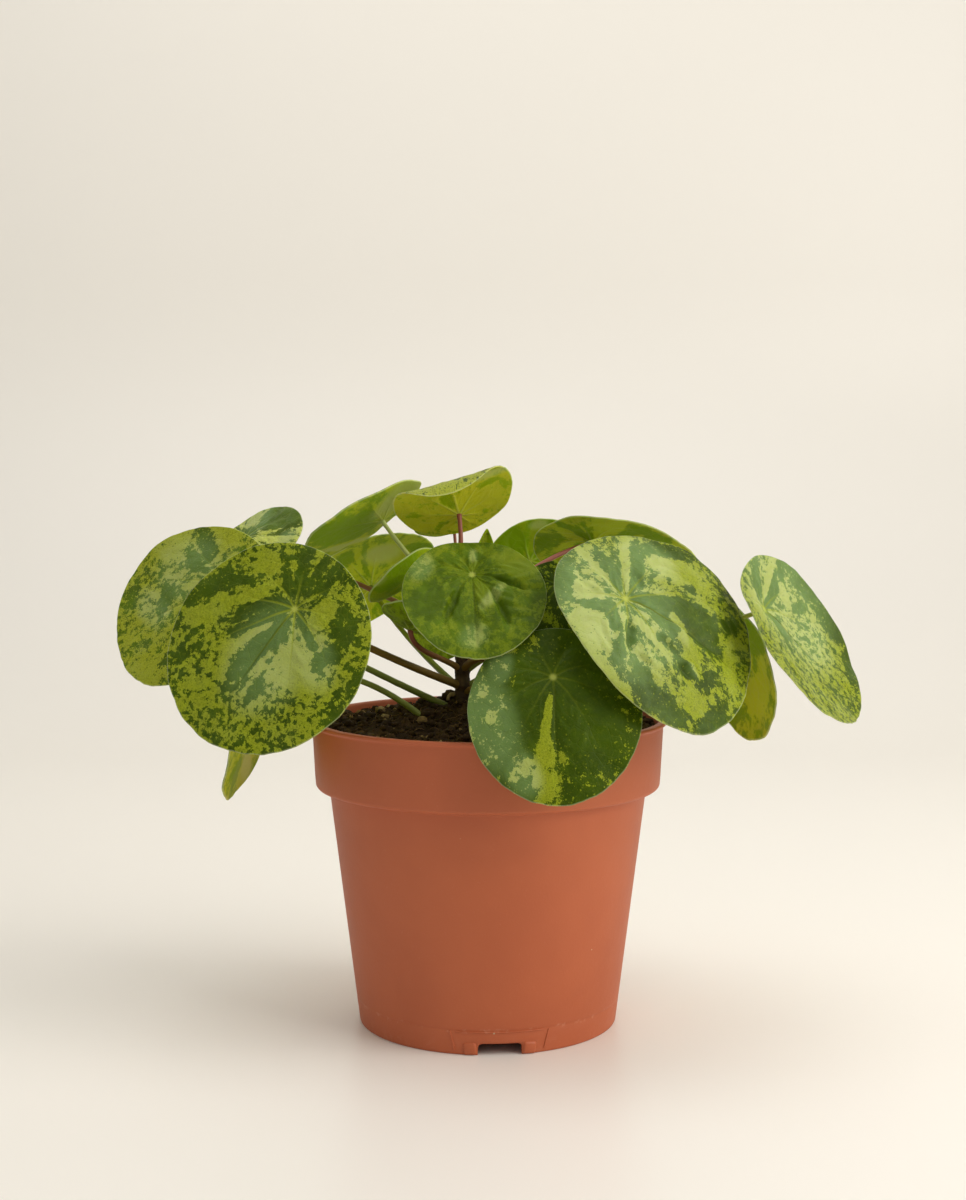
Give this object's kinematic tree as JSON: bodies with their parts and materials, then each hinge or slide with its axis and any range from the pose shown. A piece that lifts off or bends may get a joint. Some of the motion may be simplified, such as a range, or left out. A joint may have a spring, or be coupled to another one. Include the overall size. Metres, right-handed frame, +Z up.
{
  "type": "potted pilea plant",
  "caption": "Variegated pilea with round marbled leaves on thin stalks from a short woody stem, standing in soil in a tapered terracotta-coloured plastic nursery pot.",
  "frame": {"origin": "middle of the pot's foot, on the surface the pot stands on", "axes": "+Z up along the pot's axis; -Y towards the front, where the largest leaves hang; +X towards the right"},
  "size_m": [0.251, 0.1467, 0.186],
  "materials": {
    "pot": "matte",
    "soil": "matte",
    "stem": "matte",
    "leaf": "satin",
    "stalk_red": "satin",
    "stalk_green": "satin"
  },
  "bodies": {
    "root": {"pot": "pot", "soil": "soil", "stem": "stem", "stalk_front_left": "stalk_red", "blade_front_left": "leaf", "stalk_left": "stalk_green", "blade_left": "leaf", "stalk_back_left": "stalk_red", "blade_back_left": "leaf", "stalk_low_left": "stalk_green", "blade_low_left": "leaf", "stalk_high_left": "stalk_green", "blade_high_left": "leaf", "stalk_inner_back": "stalk_green", "blade_inner_back": "leaf", "stalk_inner_left": "stalk_red", "blade_inner_left": "leaf", "stalk_inner_small": "stalk_red", "blade_inner_small": "leaf", "stalk_front_middle": "stalk_red", "blade_front_middle": "leaf", "stalk_top": "stalk_red", "blade_top": "leaf", "stalk_top_small": "stalk_red", "blade_top_small": "leaf", "stalk_back_right": "stalk_green", "blade_back_right": "leaf", "stalk_high_right": "stalk_red", "blade_high_right": "leaf", "stalk_front_right": "stalk_red", "blade_front_right": "leaf", "stalk_low_right": "stalk_green", "blade_low_right": "leaf", "stalk_right": "stalk_green", "blade_right": "leaf", "stalk_inner_right": "stalk_green", "blade_inner_right": "leaf", "stalk_front_low": "stalk_red", "blade_front_low": "leaf", "stalk_back": "stalk_green", "blade_back": "leaf", "stalk_youngest": "stalk_green", "blade_youngest": "leaf"}
  },
  "joints": []
}
